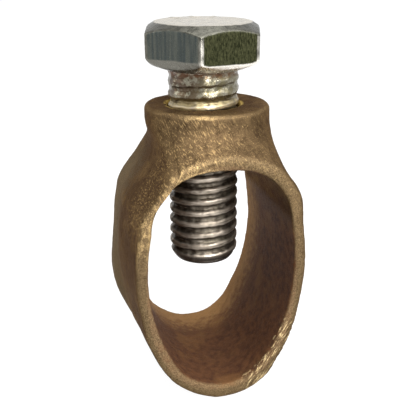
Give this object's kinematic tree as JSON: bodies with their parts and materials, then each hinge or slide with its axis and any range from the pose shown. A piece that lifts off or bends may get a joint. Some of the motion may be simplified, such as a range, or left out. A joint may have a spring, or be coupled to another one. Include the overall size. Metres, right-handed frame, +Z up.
{
  "type": "earth rod clamp",
  "caption": "Cast loop clamp with a hexagon-head screw that presses an earth conductor against a driven earth rod.",
  "frame": {"origin": "on the axis of the rod seated in the foot of the loop, half way through the loop", "axes": "+Y along the rod, +Z up along the screw, +X across the loop"},
  "size_m": [0.0242, 0.0216, 0.0503],
  "materials": {
    "gunmetal": "cast gunmetal, browned, with worn golden edges",
    "screw_steel": "dull plated steel, stained, with bright thread crests"
  },
  "bodies": {
    "clamp": {"clamp_body": "gunmetal"},
    "screw": {"clamp_screw": "screw_steel"}
  },
  "joints": [
    {"name": "screw_feed", "type": "slide", "parent": "clamp", "child": "screw", "axis": [0, 0, 1], "range_m": [-0.0044, 0.015]}
  ]
}
